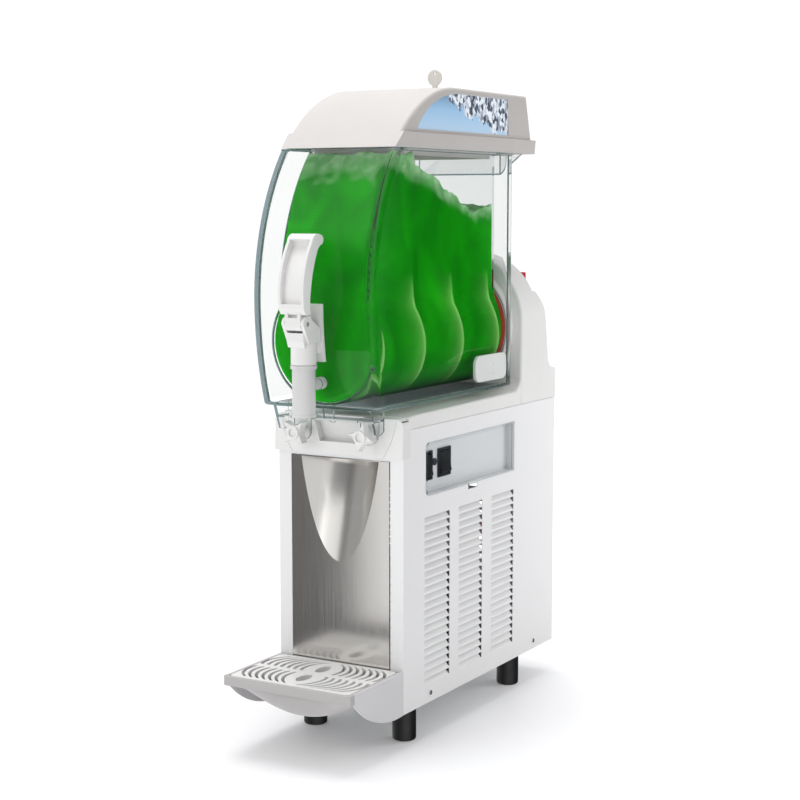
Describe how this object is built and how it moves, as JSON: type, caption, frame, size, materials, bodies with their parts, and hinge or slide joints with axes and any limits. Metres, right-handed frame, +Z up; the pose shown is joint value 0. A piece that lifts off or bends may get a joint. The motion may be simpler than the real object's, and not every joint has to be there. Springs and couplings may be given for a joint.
{
  "type": "slushie machine",
  "caption": "Countertop frozen drink dispenser: a clear insulated bowl with auger, pull tap and lit lid on a louvred case with a drip tray.",
  "frame": {"origin": "middle of the footprint's bounding box, at the height of the feet's lower faces", "axes": "+Z up, -Y towards the tap and the person serving, +X towards the side with the switch window"},
  "size_m": [0.2, 0.591, 0.9032],
  "materials": {
    "white_paint": "smooth satin powder coat",
    "white_plastic": "glossy moulded plastic",
    "grey_plastic": "satin moulded plastic",
    "clear_plastic": "polished clear plastic",
    "lit_panel": "translucent printed panel, lit from behind",
    "lamp": "light strip",
    "dark_lens": "dark lens",
    "stainless": "vertical brushed grain",
    "spring_steel": "drawn wire",
    "galvanised": "galvanised sheet",
    "black_rubber": "satin rubber",
    "black_plastic": "fine moulded texture",
    "red_rubber": "matt rubber",
    "red_plastic": "moulded plastic",
    "copper": "drawn copper tube",
    "aluminium": "plain",
    "motor_paint": "black enamel",
    "gear_steel": "cut steel",
    "circuit_board": "solder mask",
    "brass": "plated brass",
    "key_plastic": "moulded plastic"
  },
  "bodies": {
    "case": {"base_pan": "galvanised", "feet": "black_rubber", "front_frame": "white_paint", "splash_panel": "stainless", "side_panel_right": "white_paint", "side_panel_left": "white_paint", "rear_panel": "white_paint", "top_deck": "white_plastic", "front_housing": "white_plastic", "column_shell": "white_plastic", "rear_cover": "white_plastic", "bulkhead": "galvanised", "screws": "stainless", "power_inlet": "black_plastic", "tray_bracket": "white_plastic", "drum_flange": "white_plastic", "drum_gasket": "red_rubber", "evaporator_drum": "stainless", "shaft_seal": "black_rubber", "gearbox_housing": "aluminium", "gear_motor": "motor_paint", "compressor": "motor_paint", "condenser_coil": "aluminium", "fan_shroud": "galvanised", "fan_motor": "motor_paint", "refrigerant_pipes": "copper", "switch_panel": "grey_plastic", "switch_bodies": "black_plastic", "status_lamp": "dark_lens", "control_board": "circuit_board"},
    "auger": {"auger": "white_plastic", "drive_shaft": "stainless", "output_gear": "gear_steel"},
    "pinion": {"motor_pinion": "gear_steel"},
    "fan": {"condenser_fan": "black_plastic"},
    "adjuster": {"density_adjuster": "red_plastic"},
    "tray": {"drip_tray": "white_plastic"},
    "grid": {"drip_grid": "white_plastic"},
    "window": {"window_door": "clear_plastic"},
    "rocker_front": {"rocker_front": "black_plastic"},
    "rocker_rear": {"rocker_rear": "black_plastic"},
    "bowl": {"bowl_outer": "clear_plastic", "bowl_inner": "clear_plastic", "desiccant_cartridge": "white_plastic", "tap_tube": "clear_plastic", "tap_bonnet": "white_plastic", "tap_pin": "stainless"},
    "handle": {"tap_handle": "white_plastic"},
    "piston": {"tap_piston": "white_plastic", "piston_seals": "black_rubber", "tap_spring": "spring_steel"},
    "knob_right": {"knob_right": "white_plastic"},
    "knob_left": {"knob_left": "white_plastic"},
    "lid": {"lid_shell": "grey_plastic", "lid_windows": "lit_panel", "lid_liner": "grey_plastic", "lid_lamp": "lamp", "lid_bracket": "clear_plastic"},
    "lock": {"lid_lock": "brass"},
    "key": {"key": "key_plastic"}
  },
  "joints": [
    {"name": "auger_spin", "type": "hinge", "parent": "case", "child": "auger", "pos_m": [0, 0, 0.538], "axis": [0, 1, 0], "continuous": true},
    {"name": "pinion_spin", "type": "hinge", "parent": "case", "child": "pinion", "pos_m": [0, 0, 0.5005], "axis": [0, 1, 0], "continuous": true},
    {"name": "fan_spin", "type": "hinge", "parent": "case", "child": "fan", "pos_m": [0, 0, 0.16], "axis": [0, 1, 0], "continuous": true},
    {"name": "adjuster_turn", "type": "hinge", "parent": "case", "child": "adjuster", "pos_m": [0.07, 0.2357, 0.58], "axis": [0, 0, 1], "range_deg": [-150, 150]},
    {"name": "tray_pull", "type": "slide", "parent": "case", "child": "tray", "axis": [0, -1, 0], "range_m": [0, 0.13]},
    {"name": "grid_lift", "type": "slide", "parent": "tray", "child": "grid", "axis": [0, 0, 1], "range_m": [0, 0.06]},
    {"name": "window_swing", "type": "hinge", "parent": "case", "child": "window", "pos_m": [0.0969, 0.0265, 0.401], "axis": [0, -1, 0], "range_deg": [0, 100]},
    {"name": "rocker_front_tilt", "type": "hinge", "parent": "case", "child": "rocker_front", "pos_m": [0.082, -0.0855, 0.368], "axis": [0, 1, 0], "range_deg": [0, 16]},
    {"name": "rocker_rear_tilt", "type": "hinge", "parent": "case", "child": "rocker_rear", "pos_m": [0.082, -0.0355, 0.368], "axis": [0, 1, 0], "range_deg": [0, 16]},
    {"name": "bowl_pull", "type": "slide", "parent": "case", "child": "bowl", "axis": [0, -1, 0], "range_m": [0, 0.33]},
    {"name": "handle_pull", "type": "hinge", "parent": "bowl", "child": "handle", "pos_m": [0, -0.2645, 0.566], "axis": [1, 0, 0], "range_deg": [0, 40], "stiffness_Nm_per_rad": 1.5, "springref_deg": -17.19},
    {"name": "piston_lift", "type": "slide", "parent": "bowl", "child": "piston", "axis": [0, 0, 1], "range_m": [0, 0.0125], "deforming": ["tap_spring"]},
    {"name": "knob_right_turn", "type": "hinge", "parent": "bowl", "child": "knob_right", "pos_m": [0.0516, -0.1835, 0.417], "axis": [0, 1, 0], "range_deg": [0, 90]},
    {"name": "knob_left_turn", "type": "hinge", "parent": "bowl", "child": "knob_left", "pos_m": [-0.0516, -0.1835, 0.417], "axis": [0, -1, 0], "range_deg": [0, 90]},
    {"name": "lid_lift", "type": "slide", "parent": "bowl", "child": "lid", "axis": [0, 0, 1], "range_m": [0, 0.12]},
    {"name": "lock_turn", "type": "hinge", "parent": "lid", "child": "lock", "pos_m": [0, 0.0915, 0.86], "axis": [0, 0, 1], "range_deg": [0, 90]},
    {"name": "key_draw", "type": "slide", "parent": "lock", "child": "key", "axis": [0, 0, 1], "range_m": [0, 0.045]}
  ],
  "couplings": [
    {"joint": "pinion_spin", "follows": "auger_spin", "ratio": -4},
    {"joint": "piston_lift", "follows": "handle_pull", "m_per_rad": 0.0165}
  ]
}
